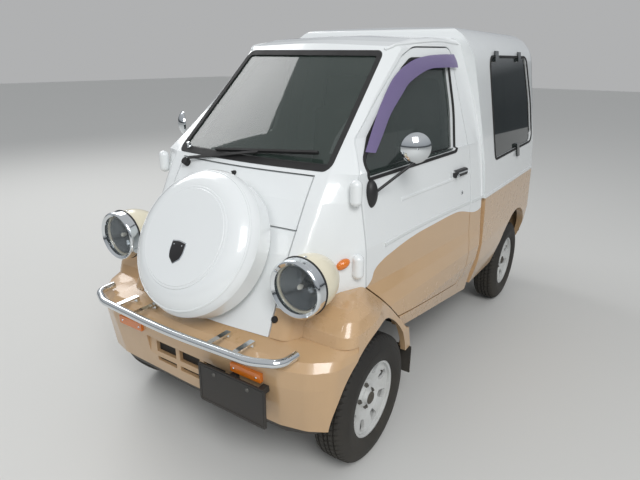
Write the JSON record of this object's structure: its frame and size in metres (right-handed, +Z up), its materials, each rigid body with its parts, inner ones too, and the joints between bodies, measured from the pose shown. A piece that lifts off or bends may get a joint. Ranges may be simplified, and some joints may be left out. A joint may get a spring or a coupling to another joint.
{
  "type": "one-seat microvan",
  "caption": "Narrow one-seat cab-over microvan with bullet headlamps, a covered spare wheel on its nose and a canopy over its bed; doors, hatch, tailgate, steering and wheels move.",
  "frame": {"origin": "on the ground, at the middle of the car's length and width", "axes": "+X to the car's left, +Y to its rear, +Z up; the nose points to -Y"},
  "size_m": [1.3394, 2.7899, 1.7046],
  "materials": {
    "white_paint": "gloss white paint",
    "tan_paint": "gloss tan paint",
    "cream_paint": "gloss cream paint",
    "floor_paint": "satin grey paint",
    "black_metal": "satin black paint",
    "chrome": "polished",
    "steel": "dull",
    "cast_metal": "rough",
    "rim_white": "gloss white paint",
    "tyre": "matte",
    "rubber": "matte",
    "black_plastic": "satin",
    "grey_plastic": "fine grain",
    "seat_fabric": "woven",
    "lamp_glass": "fluted",
    "amber_lens": "clear gloss",
    "red_lens": "clear gloss",
    "green_glass": "clear, green tint",
    "dark_glass": "smoked"
  },
  "bodies": {
    "body": {"bumper_bar": "chrome", "cab_floor": "floor_paint", "cab_shell": "white_paint", "canopy": "white_paint", "canopy_windows": "dark_glass", "cargo_body": "tan_paint", "cargo_floor": "floor_paint", "chassis": "black_metal", "cowl_panel": "white_paint", "dashboard": "grey_plastic", "engine_block": "cast_metal", "exhaust": "steel", "front_bumper": "tan_paint", "front_suspension": "black_metal", "front_valance": "black_plastic", "front_wings": "tan_paint", "headlamp_lenses": "lamp_glass", "headlamp_pods": "cream_paint", "headlamp_rings": "chrome", "leaf_springs": "black_metal", "mud_flaps": "rubber", "nose_panel": "white_paint", "number_plate": "black_plastic", "rear_axle": "black_metal", "rear_bumper": "black_plastic", "rear_window": "green_glass", "seat": "seat_fabric", "spare_carrier": "black_metal", "spare_cover": "white_paint", "steering_column": "black_metal", "tail_lamps": "red_lens", "turn_lamps": "amber_lens", "windscreen": "green_glass", "windscreen_seal": "rubber", "wiper": "black_metal"},
    "door_left": {"door_left": "white_paint", "door_left_pane": "green_glass", "door_left_mirror": "chrome"},
    "door_right": {"door_right": "white_paint", "door_right_pane": "green_glass", "door_right_mirror": "chrome"},
    "hatch": {"hatch": "white_paint", "hatch_pane": "dark_glass"},
    "tailgate": {"tailgate": "tan_paint"},
    "knuckle_left": {"knuckle_left": "cast_metal"},
    "knuckle_right": {"knuckle_right": "cast_metal"},
    "steering_wheel": {"steering_wheel": "black_plastic"},
    "wheel_front_left": {"tyre_front_left": "tyre", "rim_front_left": "rim_white"},
    "wheel_front_right": {"tyre_front_right": "tyre", "rim_front_right": "rim_white"},
    "wheel_rear_left": {"tyre_rear_left": "tyre", "rim_rear_left": "rim_white"},
    "wheel_rear_right": {"tyre_rear_right": "tyre", "rim_rear_right": "rim_white"}
  },
  "joints": [
    {"name": "door_left_hinge", "type": "hinge", "parent": "body", "child": "door_left", "pos_m": [0.548, -0.888, 0.95], "axis": [0, 0, -1], "range_deg": [0, 60]},
    {"name": "door_right_hinge", "type": "hinge", "parent": "body", "child": "door_right", "pos_m": [-0.548, -0.888, 0.95], "axis": [0, 0, 1], "range_deg": [0, 60]},
    {"name": "hatch_hinge", "type": "hinge", "parent": "body", "child": "hatch", "pos_m": [0, 1.364, 1.572], "axis": [1, 0, 0], "range_deg": [0, 85]},
    {"name": "tailgate_hinge", "type": "hinge", "parent": "body", "child": "tailgate", "pos_m": [0, 1.362, 0.606], "axis": [-1, 0, 0], "range_deg": [0, 90]},
    {"name": "steer_left", "type": "hinge", "parent": "body", "child": "knuckle_left", "pos_m": [0.49, -0.888, 0.263], "axis": [0, 0, 1], "range_deg": [-30, 30]},
    {"name": "steer_right", "type": "hinge", "parent": "body", "child": "knuckle_right", "pos_m": [-0.49, -0.888, 0.263], "axis": [0, 0, 1], "range_deg": [-30, 30]},
    {"name": "steering_wheel_turn", "type": "hinge", "parent": "body", "child": "steering_wheel", "pos_m": [-0.06, -0.558, 1.01], "axis": [0, 0.7431, 0.6691], "range_deg": [-500, 500]},
    {"name": "wheel_front_left_spin", "type": "hinge", "parent": "knuckle_left", "child": "wheel_front_left", "pos_m": [0.555, -0.888, 0.263], "axis": [1, 0, 0], "continuous": true},
    {"name": "wheel_rear_left_spin", "type": "hinge", "parent": "body", "child": "wheel_rear_left", "pos_m": [0.5525, 0.952, 0.263], "axis": [1, 0, 0], "continuous": true},
    {"name": "wheel_front_right_spin", "type": "hinge", "parent": "knuckle_right", "child": "wheel_front_right", "pos_m": [-0.555, -0.888, 0.263], "axis": [1, 0, 0], "continuous": true},
    {"name": "wheel_rear_right_spin", "type": "hinge", "parent": "body", "child": "wheel_rear_right", "pos_m": [-0.5525, 0.952, 0.263], "axis": [1, 0, 0], "continuous": true}
  ],
  "couplings": [
    {"joint": "steer_right", "follows": "steer_left", "ratio": 1},
    {"joint": "steering_wheel_turn", "follows": "steer_left", "ratio": 16}
  ]
}
